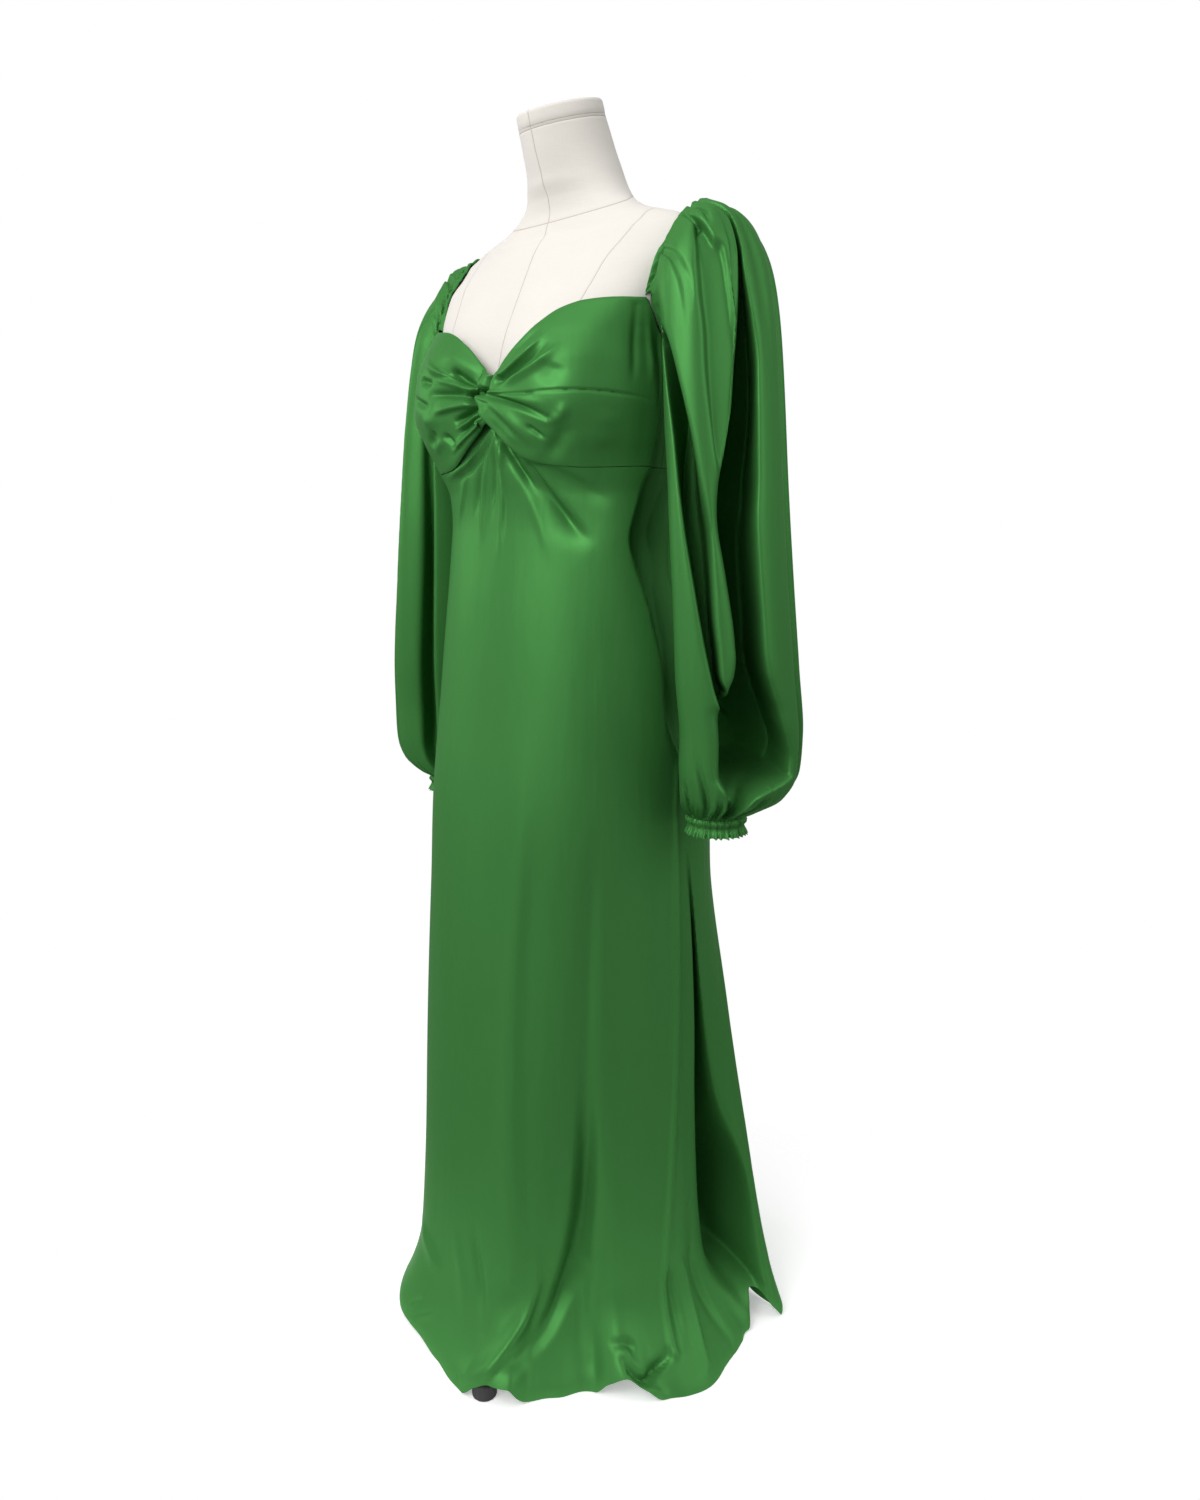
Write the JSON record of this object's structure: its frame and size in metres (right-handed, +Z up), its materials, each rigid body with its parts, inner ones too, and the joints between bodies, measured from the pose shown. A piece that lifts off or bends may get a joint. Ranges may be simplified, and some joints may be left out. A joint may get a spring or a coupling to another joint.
{
  "type": "satin midi dress on a dress form",
  "caption": "Satin dress with a twist front, sweetheart neck, full gathered sleeves and a slim A-line skirt to the floor, filled out on a limbless dress form with a stand.",
  "frame": {"origin": "on the floor, at the middle of the stand plate's flat underside, on the pole's axis", "axes": "+Z up; -Y the dress's front; +X the wearer's left"},
  "size_m": [0.5554, 0.4284, 1.3024],
  "materials": {
    "green_satin": "green satin, smooth face with a soft sheen",
    "form_linen": "cream linen cover, matt",
    "stand_steel": "dark grey paint",
    "stand_rubber": "black, matt"
  },
  "bodies": {
    "root": {"bodice_front_left": "green_satin", "bodice_front_right": "green_satin", "bodice_back": "green_satin", "twist_knot": "green_satin", "skirt_front": "green_satin", "skirt_back": "green_satin", "sleeve_left": "green_satin", "sleeve_right": "green_satin", "neck_casing_left": "green_satin", "neck_casing_right": "green_satin", "cuff_left": "green_satin", "cuff_right": "green_satin", "form_torso": "form_linen", "form_neck_cap": "form_linen", "stand_plate": "stand_steel", "stand_pole": "stand_steel", "stand_leg_front": "stand_steel", "stand_leg_back_left": "stand_steel", "stand_leg_back_right": "stand_steel", "stand_foot_front": "stand_rubber", "stand_foot_back_left": "stand_rubber", "stand_foot_back_right": "stand_rubber"}
  },
  "joints": []
}
